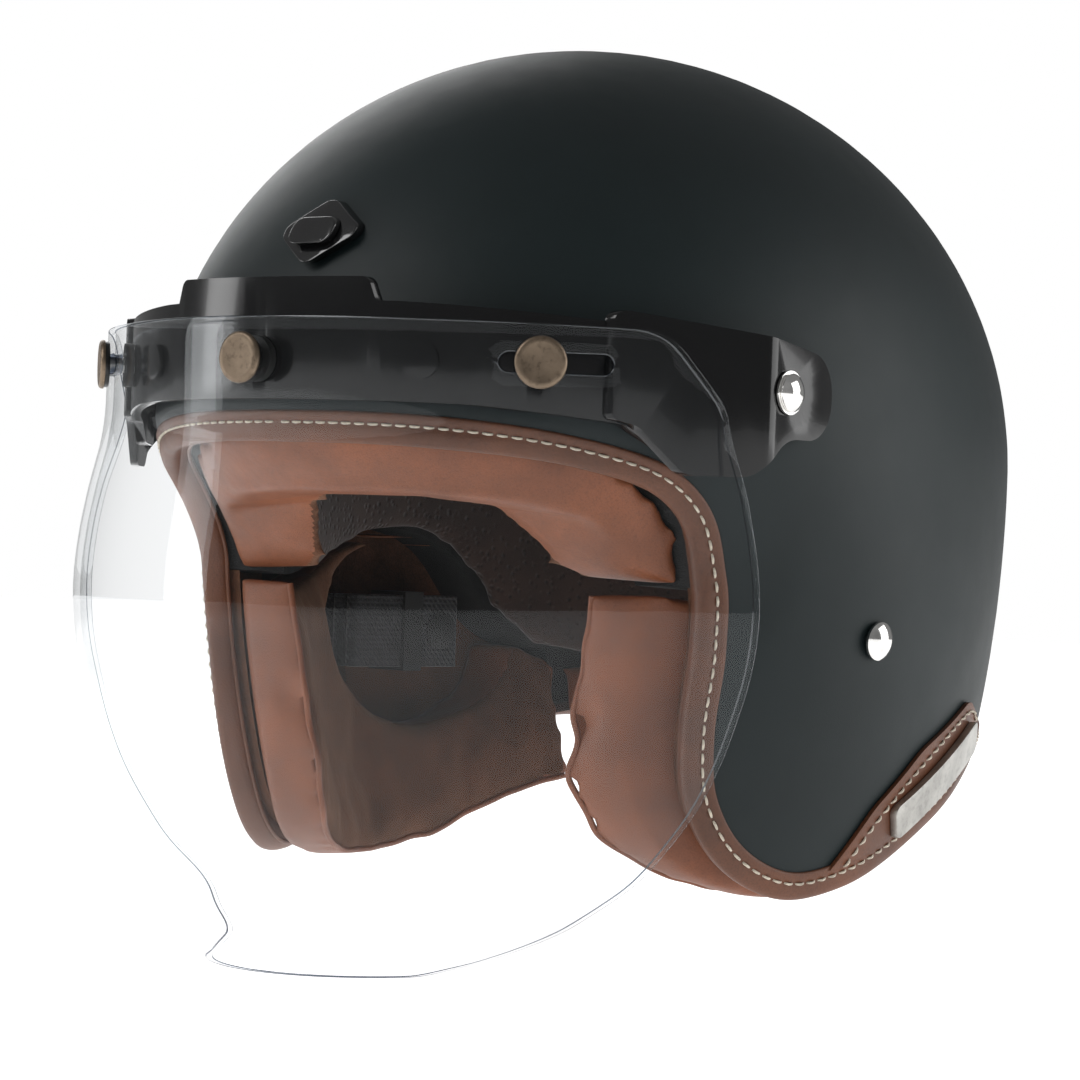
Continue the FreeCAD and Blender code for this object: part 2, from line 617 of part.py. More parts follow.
def pivot_pieces(sign):
    """Rivet through shell, bush and ear, and the washer under its head."""
    washer_low = EAR_FACE_X + JOINT_GAP + EAR_THICKNESS + PIVOT_GAP
    washer_high = washer_low + PIVOT_WASHER_THICKNESS
    washer = pivot_rod(sign, PIVOT_WASHER_RADIUS, washer_low, washer_high)
    washer = washer.cut(pivot_rod(sign, PIVOT_SHANK_RADIUS + JOINT_GAP, *PIVOT_CUT))
    head = dome_head(V(sign * (washer_high + 0.05), PIVOT_Y, PIVOT_Z), V(sign, 0, 0), RIVET_HEAD_RADIUS,
                     RIVET_HEAD_HEIGHT)
    shank = pivot_rod(sign, PIVOT_SHANK_RADIUS, PIVOT_TAIL_X, washer_high + 0.5)
    tail = pivot_rod(sign, PIVOT_TAIL_RADIUS, PIVOT_TAIL_X, PIVOT_TAIL_X + PIVOT_TAIL_THICKNESS)
    return head.fuse([shank, tail]).removeSplitter(), washer


def strap_rivet(sign):
    place, outwards = strap_rivet_frame(sign)
    head = dome_head(place + outwards * 0.25, outwards, STRAP_RIVET_RADIUS, RIVET_HEAD_HEIGHT)
    return head.fuse(strap_rod(sign, STRAP_SHANK_RADIUS, -STRAP_SHANK_END, 1.0)).removeSplitter()


def strap_anchor(sign):
    """Steel tab inside the shell that the rivet clamps."""
    half_width = STRAP_WIDTH / 2
    front_round, back_round = ANCHOR_CORNERS
    tab = flat_face([(-ANCHOR_FRONT, ANCHOR_TAPER - half_width, front_round),
                     (ANCHOR_BACK, -half_width, back_round), (ANCHOR_BACK, half_width, back_round),
                     (-ANCHOR_FRONT, half_width - ANCHOR_TAPER, front_round)])
    tab = tab.extrude(V(0, 0, ANCHOR_THICKNESS))
    tab = tab.cut(Part.makeCylinder(STRAP_SHANK_RADIUS + JOINT_GAP, 3 * ANCHOR_THICKNESS,
                                    V(0, 0, -ANCHOR_THICKNESS)))
    place, outwards = strap_rivet_frame(1)
    tab.Placement = FreeCAD.Placement(place - outwards * ANCHOR_DEPTH,
                                      FreeCAD.Rotation(V(0, 1, 0), V(0, 0, 1), outwards, "ZXY"))
    return mirrored(tab, sign)


def ribbon(edges):
    """Webbing of the strap's width that stands on a plan path."""
    path = Part.Wire(edges)
    first = path.OrderedEdges[0]
    start = path.OrderedVertexes[0].Point
    along = first.tangentAt(first.FirstParameter)
    across = V(-along.y, along.x, 0) * (STRAP_THICKNESS / 2)
    tall = V(0, 0, STRAP_WIDTH)
    low = V(start.x, start.y, start.z)
    profile = Part.makePolygon([low - across, low + across, low + across + tall, low - across + tall,
                                low - across])
    return path.makePipeShell([profile], True, True)


def corner_path(corners):
    """Open plan path of straight runs and rounded corners, from (x, y, radius) corners."""
    level = STRAP_Z - STRAP_WIDTH / 2
    edges = rounded_edges(corners)[:-1]
    for edge in edges:
        edge.translate(V(0, 0, level))
    return edges


def ring_strap():
    """Short left strap, looped round the bars of both rings and sewn back on itself."""
    wrap = RING_WIRE_RADIUS + LOOP_GAP + STRAP_THICKNESS / 2
    outer_x = RING_BAR_X["outer"] + wrap
    inner_x = RING_BAR_X["inner"] - wrap
    loop_y = RING_BAR_Y + wrap
    corners = [(STRAP_START[0], STRAP_START[1], 0), (outer_x, RING_BAR_Y - 12, 12), (outer_x, loop_y, wrap),
               (inner_x, loop_y, wrap), (inner_x, RING_BAR_Y - 10, 10), (*LOOP_END, 0)]
    return ribbon(corner_path(corners))


def long_strap_path():
    """Plan path of the long strap, mirrored to the left: down the pocket and folded to and fro."""
    lean = math.radians(FOLD_SLOPE)
    back = V(-math.sin(lean), math.cos(lean), 0)
    inwards = V(-math.cos(lean), -math.sin(lean), 0)
    level = V(0, 0, STRAP_Z - STRAP_WIDTH / 2)
    origin = V(FOLD_START[0], FOLD_START[1], 0) + level
    start = V(STRAP_START[0], STRAP_START[1], 0) + level
    edges = [Part.makeLine(start, origin)]
    for run in range(FOLD_RUNS):
        near = origin + inwards * (run * FOLD_PITCH)
        far = near + back * FOLD_LENGTH
        forth = run % 2 == 0
        edges.append(Part.makeLine(near, far) if forth else Part.makeLine(far, near))
        if run < FOLD_RUNS - 1:
            end = far if forth else near
            outer = end + inwards * (FOLD_PITCH / 2) + back * (FOLD_PITCH / 2 if forth else -FOLD_PITCH / 2)
            edges.append(Part.Arc(end, outer, end + inwards * FOLD_PITCH).toShape())
    return edges


def fold_block(low_along, high_along, margin, low_z, high_z):
    """Block round the folded runs, between two places along them."""
    lean = math.radians(FOLD_SLOPE)
    depth = (FOLD_RUNS - 1) * FOLD_PITCH + STRAP_THICKNESS + 2 * margin
    block = Part.makeBox(depth, high_along - low_along, high_z - low_z,
                         V(-depth + STRAP_THICKNESS / 2 + margin, low_along, low_z))
    block.rotate(V(0, 0, 0), V(0, 0, 1), math.degrees(lean))
    block.translate(V(FOLD_START[0], FOLD_START[1], 0))
    return block


def strap_keeper():
    """Rubber loop that holds the folded strap."""
    low, high = STRAP_Z - STRAP_WIDTH / 2, STRAP_Z + STRAP_WIDTH / 2
    first, last = KEEPER_RUN
    outer = fold_block(first, last, KEEPER_WALL, low - KEEPER_WALL, high + KEEPER_WALL)
    return outer.cut(fold_block(first - 1, last + 1, KEEPER_GAP, low - KEEPER_GAP, high + KEEPER_GAP))


def strap_snap():
    """Press stud at the free end of the long strap."""
    lean = math.radians(FOLD_SLOPE)
    back = V(-math.sin(lean), math.cos(lean), 0)
    inwards = V(-math.cos(lean), -math.sin(lean), 0)
    face = (FOLD_RUNS - 1) * FOLD_PITCH + STRAP_THICKNESS / 2 + KEEPER_GAP
    place = V(FOLD_START[0], FOLD_START[1], STRAP_Z) + inwards * face + back * (FOLD_LENGTH - FREE_END_MARGIN)
    return dome_head(place, inwards, *FREE_END_SNAP)


def d_ring(bar_x):
    """Wire ring shaped like a D, with its straight bar upright in the strap's loop."""
    half = RING_HALF_HEIGHT
    points = [V(0, 0, -half + RING_CORNER), V(0, 0, half - RING_CORNER), V(0, RING_CORNER, half),
              V(0, RING_STRAIGHT, half), V(0, RING_STRAIGHT, -half), V(0, RING_CORNER, -half)]
    swing = RING_CORNER * (1 - math.sqrt(0.5))
    edges = [Part.makeLine(points[0], points[1]),
             Part.Arc(points[1], V(0, swing, half - swing), points[2]).toShape(),
             Part.makeLine(points[2], points[3]),
             Part.Arc(points[3], V(0, RING_STRAIGHT + half, 0), points[4]).toShape(),
             Part.makeLine(points[4], points[5]),
             Part.Arc(points[5], V(0, swing, swing - half), points[0]).toShape()]
    section = Part.Wire(Part.makeCircle(RING_WIRE_RADIUS, points[0], V(0, 0, 1)))
    ring = Part.Wire(edges).makePipeShell([section], True, True)
    ring.rotate(V(0, 0, 0), V(0, 0, 1), RING_REST_TURN)
    ring.translate(V(bar_x, RING_BAR_Y, STRAP_Z))
    return ring


def helmet_nodes():
    nodes = {"outer_shell": outer_shell(), "crown_liner": crown_liner(), "brow_pad": brow_pad(),
             "rim_trim": rim_trim(), "visor_band": visor_band(), "visor_bubble": visor_bubble(),
             "chin_strap_left": ring_strap(), "strap_keeper": strap_keeper().mirror(V(), V(1, 0, 0)),
             "chin_strap_right": ribbon(long_strap_path()).mirror(V(), V(1, 0, 0)),
             "strap_snap": strap_snap().mirror(V(), V(1, 0, 0))}
    nodes["foam_liner"], cores = foam_and_cores()
    nodes["neck_roll"], nodes["neck_skirt"] = neck_pieces()
    nodes["emblem_base"], nodes["emblem_boss"] = emblem()
    pads, patches, plates, ears = cheek_pads(), side_patches(), badges(), band_ears()
    for side, sign in SIDES.items():
        nodes["cheek_core_" + side] = cores[side]
        nodes["cheek_pad_" + side] = pads[side]
        nodes["side_patch_" + side] = patches[side]
        nodes["badge_" + side] = plates[side]
        nodes["band_ear_" + side] = ears[side]
        nodes["band_button_" + side] = band_button(sign * BUTTON_ANGLE)
        nodes["pivot_bush_" + side] = pivot_bush(sign)
        nodes["pivot_rivet_" + side], nodes["pivot_washer_" + side] = pivot_pieces(sign)
        nodes["strap_rivet_" + side] = strap_rivet(sign)
        nodes["strap_anchor_" + side] = strap_anchor(sign)
    for side, angle in SNAP_ANGLES.items():
        nodes["snap_stud_" + side] = snap_stud(side, angle)
        nodes["snap_spacer_" + side] = snap_spacer(angle)
        nodes["snap_cap_" + side] = snap_cap(side, angle)
    for layer, bar_x in RING_BAR_X.items():
        nodes["d_ring_" + layer] = d_ring(bar_x)
    return nodes


os.makedirs("parts", exist_ok=True)
for name, shape in helmet_nodes().items():
    save(shape, name)
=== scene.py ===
import bpy
import bmesh
import math
from mathutils import Vector, Matrix
from mathutils.bvhtree import BVHTree


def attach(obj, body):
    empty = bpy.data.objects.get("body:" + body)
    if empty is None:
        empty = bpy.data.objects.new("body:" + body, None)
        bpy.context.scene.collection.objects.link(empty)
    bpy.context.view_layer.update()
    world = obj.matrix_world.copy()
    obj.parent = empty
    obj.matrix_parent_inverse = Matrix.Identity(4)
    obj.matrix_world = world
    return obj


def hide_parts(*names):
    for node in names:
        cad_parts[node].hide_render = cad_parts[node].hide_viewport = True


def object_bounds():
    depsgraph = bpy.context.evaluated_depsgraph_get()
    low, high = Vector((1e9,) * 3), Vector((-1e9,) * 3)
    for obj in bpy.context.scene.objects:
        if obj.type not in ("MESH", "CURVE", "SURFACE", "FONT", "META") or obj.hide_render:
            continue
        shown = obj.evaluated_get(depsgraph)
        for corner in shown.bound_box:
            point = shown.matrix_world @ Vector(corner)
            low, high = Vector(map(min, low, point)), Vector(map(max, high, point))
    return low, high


# Open face helmet: soft goods, leather edging, shield and finishes over the CAD frame. Metres.

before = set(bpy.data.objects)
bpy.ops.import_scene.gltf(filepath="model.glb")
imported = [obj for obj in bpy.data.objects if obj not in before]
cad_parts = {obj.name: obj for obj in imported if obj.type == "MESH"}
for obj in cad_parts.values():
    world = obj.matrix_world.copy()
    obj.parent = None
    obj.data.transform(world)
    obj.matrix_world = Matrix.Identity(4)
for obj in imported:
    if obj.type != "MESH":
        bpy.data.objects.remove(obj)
CAD_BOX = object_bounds()
MM = 0.001
PER_METRE = 1000

# ---------------------------------------------------------------- skin of the shell, in millimetres

HALF_WIDTH, HALF_LENGTH, CROWN, SKIRT = 126.2, 149.6, 129.9, 244.2
SHELL_EDGE = [(-175, 9.5), (-140, 8), (-109, 2), (-90, -5), (-76.5, -17), (-69, -33), (-66.5, -55),
              (-65.5, -80), (-61, -99), (-50, -114), (-34, -121.5), (-14, -118.5), (32, -99.5),
              (68, -84.5), (105, -78), (175, -84)]
PAD_EDGE = [(-76, -36), (-73.5, -55), (-72.5, -80), (-67.7, -102), (-55, -119), (-36, -128), (-14, -130.5),
            (8, -129), (27, -125), (44, -118), (75, -106)]
PATCH_TOP = [(-18, -116), (-7, -101.5), (14, -84.5), (46, -70), (62, -77)]

# Leather edging: its cross-section as (outwards from the skin, away from the shell's edge)
RIM_SECTION = [(0.1, -1.3), (0.6, -1.25), (0.95, -0.7), (1.0, 0.5), (0.85, 1.4), (0.6, 2.1), (0.85, 2.8),
               (1.05, 3.8), (1.1, 5.2), (0.9, 6.5), (0.35, 7.5), (-0.7, 8.05), (-2.2, 8.25), (-4.0, 8.2),
               (-5.7, 7.8), (-7.0, 7.0), (-7.6, 5.8), (-7.7, 3.5), (-7.6, 1.0), (-7.2, 0.1), (-5.0, 0.05),
               (-2.0, 0.05)]
SEAM_AWAY = 2.1                 # distance of the stitched groove from the shell's edge
STITCH_LENGTH = 3.1
STITCH_PITCH = 4.2
STITCH_RADIUS = 0.42
STITCH_RINGS = 5
STITCH_SIDES = 6

# Where a pad's leather gives way to suede, outwards from the skin
CHEEK_SUEDE = -28.5
BROW_SUEDE = -33.0
PAD_PRESSURE = 4.0
PAD_FRAMES = 20

# Press caps: a turned profile of (radius, height, material), and each cap's angle and start
CAP_SIDES = 64
CAP_PROFILE = [(0.0, 2.85, 0), (4.6, 2.85, 0), (5.5, 2.95, 0), (6.3, 3.0, 0), (6.95, 2.8, 0), (7.3, 2.4, 0),
               (7.4, 1.9, 0), (7.35, 1.45, 0), (6.95, 1.3, 1), (6.9, 0.4, 1), (6.7, 0.05, 1), (2.5, 0.05, 1),
               (2.5, 1.9, 1), (0.0, 1.9, 1)]
CAP_PLACES = (("left", 42.0, 123.0), ("centre", 0.0, 122.0), ("right", -42.0, 123.0))
BAND_CENTRE = (0, -43, 24)

EDGE_ANGLE = math.radians(38)   # edges sharper than this are softened on hard pieces
SHEET_ANGLE = math.radians(35)  # the same for the shield
SHIELD_EDGE_WIDTH = 0.9


def blend(low, high, value):
    share = min(max((value - low) / (high - low), 0.0), 1.0)
    return share * share * (3 - 2 * share)


def drawn_in(z):
    return 1 - 0.225 * (1 - blend(-36, 12, z))


def skin_value(x, y, z, out):
    """Below 1 inside the skin moved out by a distance, above 1 outside."""
    if y < 0:
        y /= drawn_in(z)
    height = CROWN if z > 0 else SKIRT
    return ((x / (HALF_WIDTH + out)) ** 2 + (y / (HALF_LENGTH + out)) ** 2 + (z / (height + out)) ** 2)


def skin_x(y, z, out=0.0):
    left = 1 - skin_value(0, y, z, out)
    return (HALF_WIDTH + out) * math.sqrt(max(left, 0.0))


def outset(point):
    """How far a point lies outside the skin, in millimetres."""
    low, high = -120.0, 30.0
    for _ in range(18):
        middle = (low + high) / 2
        if skin_value(point[0], point[1], point[2], middle) > 1:
            low = middle
        else:
            high = middle
    return (low + high) / 2


def skin_normal(point, step=0.5):
    x, y, z = point
    out = outset(point)
    grad = Vector((skin_value(x + step, y, z, out) - skin_value(x - step, y, z, out),
                   skin_value(x, y + step, z, out) - skin_value(x, y - step, z, out),
                   skin_value(x, y, z + step, out) - skin_value(x, y, z - step, out)))
    return grad.normalized()


def through(points, per_span=24):
    """Smooth line through side-view points, as a list of (a, b)."""
    line = []
    for index in range(len(points) - 1):
        p1, p2 = Vector(points[index]), Vector(points[index + 1])
        p0 = Vector(points[index - 1]) if index else p1 * 2 - p2
        p3 = Vector(points[index + 2]) if index + 2 < len(points) else p2 * 2 - p1
        d0, d1, d2 = [max((b - a).length, 1e-6) ** 0.5 for a, b in ((p0, p1), (p1, p2), (p2, p3))]
        m1 = p2 - p1 + d1 * ((p1 - p0) / d0 - (p2 - p0) / (d0 + d1))
        m2 = p2 - p1 + d1 * ((p3 - p2) / d2 - (p3 - p1) / (d1 + d2))
        for step in range(per_span):
            t = step / per_span
            line.append(p1 * (2 * t ** 3 - 3 * t ** 2 + 1) + m1 * (t ** 3 - 2 * t ** 2 + t)
                        + p2 * (3 * t ** 2 - 2 * t ** 3) + m2 * (t ** 3 - t ** 2))
    line.append(Vector(points[-1]))
    return line


def evenly(path, gap, closed=False):
    """Points along a path at an even spacing near gap."""
    points = path + [path[0]] if closed else path
    lengths = [0.0]
    for a, b in zip(points, points[1:]):
        lengths.append(lengths[-1] + (b - a).length)
    count = max(round(lengths[-1] / gap), 2)
    out, index = [], 0
    for step in range(count if closed else count + 1):
        at = lengths[-1] * step / count
        while index < len(lengths) - 2 and lengths[index + 1] < at:
            index += 1
        span = max(lengths[index + 1] - lengths[index], 1e-9)
        out.append(points[index].lerp(points[index + 1], (at - lengths[index]) / span))
    return out


def shell_rim():
    """The shell's edge all the way round, in millimetres."""
    side = [p for p in through(SHELL_EDGE, 60) if skin_value(0, p[0], p[1], 0) < 1]
    half = [Vector((skin_x(p[0], p[1]), p[0], p[1])) for p in side]
    first, last = half[0].copy(), half[-1].copy()
    first.x = last.x = 0.0
    left = [first] + half + [last]
    right = [Vector((-p.x, p.y, p.z)) for p in reversed(half)]
    return evenly(left + right, 1.5, closed=True)


# ---------------------------------------------------------------- meshes

def new_object(name, verts, faces, scale=MM):
    mesh = bpy.data.meshes.new(name)
    mesh.from_pydata([Vector(v) * scale for v in verts], [], faces)
    mesh.update()
    piece = bpy.data.objects.new(name, mesh)
    bpy.context.collection.objects.link(piece)
    return piece


def tidy_normals(piece):
    work = bmesh.new()
    work.from_mesh(piece.data)
    bmesh.ops.recalc_face_normals(work, faces=work.faces)
    work.to_mesh(piece.data)
    work.free()


def smooth(piece, degrees=180):
    for face in piece.data.polygons:
        face.use_smooth = True
    if degrees < 180:
        piece.data.set_sharp_from_angle(angle=math.radians(degrees))


def baked(piece):
    """Apply every modifier."""
    graph = bpy.context.evaluated_depsgraph_get()
    mesh = bpy.data.meshes.new_from_object(piece.evaluated_get(graph))
    piece.modifiers.clear()
    piece.data = mesh
    return piece


def copy_of(node, name):
    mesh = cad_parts[node].data.copy()
    mesh.name = name
    piece = bpy.data.objects.new(name, mesh)
    bpy.context.collection.objects.link(piece)
    work = bmesh.new()
    work.from_mesh(mesh)
    bmesh.ops.remove_doubles(work, verts=work.verts, dist=1e-6)
    work.to_mesh(mesh)
    work.free()
    mesh.materials.clear()
    return piece


def ring_faces(rings, size, closed):
    """Quads between neighbouring rings of points."""
    faces = []
    for ring in range(rings if closed else rings - 1):
        after = (ring + 1) % rings
        for k in range(size):
            step = (k + 1) % size
            faces.append((ring * size + k, ring * size + step, after * size + step, after * size + k))
    return faces


def swept(name, path, section, frames, closed=True):
    """Skin a cross-section of (across, along) offsets along a path with (across, along) directions."""
    verts = []
    count, rings = len(section), len(path)
    for point, (across, along) in zip(path, frames):
        for a, b in section:
            verts.append(point + across * a + along * b)
    faces = ring_faces(rings, count, closed)
    if not closed:
        faces.append(tuple(range(count)))
        faces.append(tuple(range((rings - 1) * count, rings * count)))
    piece = new_object(name, verts, faces)
    tidy_normals(piece)
    smooth(piece, 50)
    return piece


def tube(name, path, radius, sides=8, closed=False):
    frames = []
    for index, point in enumerate(path):
        before = path[index - 1] if index or closed else point
        after = path[(index + 1) % len(path)] if closed or index + 1 < len(path) else point
        along = (after - before).normalized()
        side = along.cross(Vector((0.3, 0.2, 1))).normalized()
        frames.append((side, along.cross(side)))
    ring = [(radius * math.cos(2 * math.pi * k / sides), radius * math.sin(2 * math.pi * k / sides))
            for k in range(sides)]
    return swept(name, path, ring, frames, closed)


def stitch_row(name, path, normals):
    """Thread stitches laid along a path; each sinks into the leather at its ends."""
    verts, faces = [], []
    lengths = [0.0]
    for a, b in zip(path, path[1:]):
        lengths.append(lengths[-1] + (b - a).length)

    def at(distance):
        low, high = 0, len(lengths) - 2
        while low < high:
            middle = (low + high + 1) // 2
            if lengths[middle] <= distance:
                low = middle
            else:
                high = middle - 1
        index = low
        share = (distance - lengths[index]) / max(lengths[index + 1] - lengths[index], 1e-9)
        return path[index].lerp(path[index + 1], share), normals[index]

    last, sides = STITCH_RINGS - 1, STITCH_SIDES
    for number in range(int(lengths[-1] / STITCH_PITCH)):
        start = number * STITCH_PITCH + 0.5
        rings = []
        for step in range(STITCH_RINGS):
            share = step / last
            place, normal = at(min(start + STITCH_LENGTH * share, lengths[-1]))
            thick = STITCH_RADIUS * (0.55 + 0.45 * math.sin(math.pi * (0.12 + 0.76 * share)))
            rise = STITCH_RADIUS * 1.5 * math.sin(math.pi * share) - STITCH_RADIUS * 0.5
            rings.append((place + normal * rise, normal, thick))
        first = len(verts)
        for index, (place, normal, thick) in enumerate(rings):
            ahead = rings[min(index + 1, last)][0] - rings[max(index - 1, 0)][0]
            side = ahead.cross(normal).normalized()
            for k in range(sides):
                turn = 2 * math.pi / sides * k
                verts.append(place + side * thick * math.cos(turn) + normal * thick * math.sin(turn))
        for face in ring_faces(STITCH_RINGS, sides, False):
            faces.append(tuple(first + corner for corner in face))
        for ring in (0, last):
            faces.append(tuple(first + ring * sides + k for k in range(sides)))
    piece = new_object(name, verts, faces)
    tidy_normals(piece)
    smooth(piece)
    return piece


# ---------------------------------------------------------------- materials

class Finish:
    """A procedural material: nodes are added around one Principled shader."""

    def __init__(self, name, colour, rough, **sockets):
        self.material = bpy.data.materials.new(name)
        self.material.use_nodes = True
        self.tree = self.material.node_tree
        self.shader = self.tree.nodes["Principled BSDF"]
        self.coords = self.add("ShaderNodeTexCoord")
        self.shader.inputs["Base Color"].default_value = (*colour, 1)
        self.shader.inputs["Roughness"].default_value = rough
        self.colour = colour
        self.bump = None
        for socket, value in sockets.items():
            self.shader.inputs[socket.replace("_", " ")].default_value = value

    def add(self, kind, **values):
        node = self.tree.nodes.new(kind)
        for key, value in values.items():
            setattr(node, key, value)
        return node

    def link(self, a, b):
        self.tree.links.new(a, b)

    def noise(self, scale, detail=4.0, rough=0.55, stretch=None):
        node = self.add("ShaderNodeTexNoise")
        node.inputs["Scale"].default_value = scale
        node.inputs["Detail"].default_value = detail
        node.inputs["Roughness"].default_value = rough
        self.place(node, stretch)
        return node.outputs["Fac"]

    def place(self, node, stretch=None, turn=None):
        source = self.coords.outputs["Object"]
        if stretch or turn:
            mapping = self.add("ShaderNodeMapping")
            mapping.inputs["Scale"].default_value = stretch or (1, 1, 1)
            mapping.inputs["Rotation"].default_value = turn or (0, 0, 0)
            self.link(source, mapping.inputs["Vector"])
            source = mapping.outputs["Vector"]
        self.link(source, node.inputs["Vector"])

    def cells(self, scale, feature="DISTANCE_TO_EDGE"):
        node = self.add("ShaderNodeTexVoronoi", feature=feature)
        node.inputs["Scale"].default_value = scale
        self.place(node)
        return node.outputs["Distance"]

    def waves(self, scale, direction="X", turn=None, distortion=0.0):
        node = self.add("ShaderNodeTexWave", bands_direction=direction)
        node.inputs["Scale"].default_value = scale
        node.inputs["Distortion"].default_value = distortion
        self.place(node, turn=turn)
        return node.outputs["Fac"]

    def ramp(self, source, stops):
        node = self.add("ShaderNodeValToRGB")
        while len(node.color_ramp.elements) < len(stops):
            node.color_ramp.elements.new(0.5)
        for element, (place, colour) in zip(node.color_ramp.elements, stops):
            element.position = place
            element.color = (*colour, 1) if len(colour) == 3 else (colour[0],) * 3 + (1,)
        self.link(source, node.inputs["Fac"])
        return node.outputs["Color"]

    def tint(self, source, dark, light, low=0.35, high=0.65):
        """Vary the colour between two multiples of the base."""
        first = tuple(c * dark for c in self.colour)
        second = tuple(min(c * light, 1.0) for c in self.colour)
        result = self.ramp(source, [(low, first), (high, second)])
        self.link(result, self.shader.inputs["Base Color"])
        return result

    def darken(self, colour, mask, amount):
        mix = self.add("ShaderNodeMix", data_type="RGBA", blend_type="MULTIPLY")
        self.link(mask, mix.inputs["Factor"])
        self.link(colour, mix.inputs["A"])
        mix.inputs["B"].default_value = (amount, amount, amount, 1)
        self.link(mix.outputs["Result"], self.shader.inputs["Base Color"])
        return mix.outputs["Result"]

    def roughen(self, source, low, high):
        node = self.add("ShaderNodeMapRange")
        node.inputs["To Min"].default_value = low
        node.inputs["To Max"].default_value = high
        self.link(source, node.inputs["Value"])
        self.link(node.outputs["Result"], self.shader.inputs["Roughness"])

    def relief(self, source, depth, strength=1.0):
        """Add a bump whose full height is depth metres."""
        node = self.add("ShaderNodeBump")
        node.inputs["Strength"].default_value = strength
        node.inputs["Distance"].default_value = depth
        self.link(source, node.inputs["Height"])
        if self.bump:
            self.link(self.bump, node.inputs["Normal"])
        self.bump = node.outputs["Normal"]
        self.link(self.bump, self.shader.inputs["Normal"])


def leather(name, colour, rough=0.42, grain=0.00010, wrinkle=0.00035):
    finish = Finish(name, colour, rough, Specular_IOR_Level=0.45)
    patches = finish.noise(28, 6, 0.62)
    tone = finish.tint(patches, 0.62, 1.25, 0.30, 0.72)
    pores = finish.noise(1500, 3)
    finish.darken(tone, finish.ramp(pores, [(0.30, (0.55,)), (0.52, (0.0,))]), 0.55)
    finish.roughen(finish.noise(90, 4), rough - 0.07, rough + 0.14)
    finish.relief(finish.cells(1150), grain)
    finish.relief(finish.noise(160, 5, 0.6), wrinkle * 0.4)
    finish.relief(finish.noise(38, 3), wrinkle)
    return finish.material


def suede(name, colour):
    finish = Finish(name, colour, 0.92, Sheen_Weight=0.35, Sheen_Roughness=0.5, Specular_IOR_Level=0.2)
    finish.shader.inputs["Sheen Tint"].default_value = (0.55, 0.35, 0.24, 1)
    tone = finish.tint(finish.noise(60, 7, 0.7), 0.6, 1.4, 0.32, 0.7)
    finish.darken(tone, finish.ramp(finish.noise(1700, 2), [(0.42, (0.6,)), (0.6, (0.0,))]), 0.5)
    finish.relief(finish.noise(1300, 4, 0.7), 0.00022)
    finish.relief(finish.noise(120, 4), 0.0004)
    return finish.material


def lining_cloth(name, colour):
    finish = Finish(name, colour, 0.85, Sheen_Weight=0.25, Sheen_Roughness=0.6, Specular_IOR_Level=0.25)
    tone = finish.tint(finish.noise(45, 5), 0.7, 1.3)
    holes = finish.cells(420, "F1")
    finish.darken(tone, finish.ramp(holes, [(0.10, (0.85,)), (0.32, (0.0,))]), 0.35)
    finish.relief(finish.ramp(holes, [(0.08, (0.0,)), (0.45, (1.0,))]), 0.0004)
    finish.relief(finish.noise(900, 3), 0.0001)
    return finish.material


def woven(name, colour):
    finish = Finish(name, colour, 0.7, Sheen_Weight=0.3, Specular_IOR_Level=0.3)
    rib = finish.waves(190, "Z")
    cross = finish.waves(260, "DIAGONAL", distortion=0.6)
    finish.tint(finish.noise(300, 3), 0.55, 2.2)
    finish.relief(rib, 0.0003)
    finish.relief(cross, 0.00022)
    return finish.material


def plastic(name, colour, rough, fleck=0.00001, **sockets):
    finish = Finish(name, colour, rough, **sockets)
    finish.tint(finish.noise(22, 4), 0.85, 1.18)
    finish.roughen(finish.noise(140, 6, 0.65), rough * 0.82, rough * 1.3)
    finish.relief(finish.noise(2200, 2), fleck)
    return finish.material


def shell_finish():
    finish = Finish("shell_paint", (0.0060, 0.0115, 0.0125), 0.5, Specular_IOR_Level=0.28)
    finish.tint(finish.noise(14, 4), 0.88, 1.14)
    finish.roughen(finish.noise(60, 6), 0.45, 0.56)
    finish.relief(finish.noise(2600, 3, 0.6), 0.000035)
    finish.relief(finish.noise(16, 2), 0.00006)
    return finish.material


def metal(name, colour, rough, grain=0.00003, scale=700, spots=0.0):
    finish = Finish(name, colour, rough, Metallic=1.0)
    tone = finish.tint(finish.noise(130, 6, 0.65), 0.78, 1.16)
    if spots:
        finish.darken(tone, finish.ramp(finish.noise(520, 5), [(0.30, (spots,)), (0.46, (0.0,))]), 0.35)
    finish.roughen(finish.noise(260, 5), rough * 0.75, rough * 1.35)
    finish.relief(finish.noise(scale, 4, 0.6), grain)
    return finish.material


def thread():
    finish = Finish("cream_thread", (0.74, 0.66, 0.53), 0.62, Sheen_Weight=0.2)
    finish.tint(finish.noise(700, 3), 0.78, 1.15)
    finish.relief(finish.waves(1500, "DIAGONAL"), 0.00012)
    return finish.material


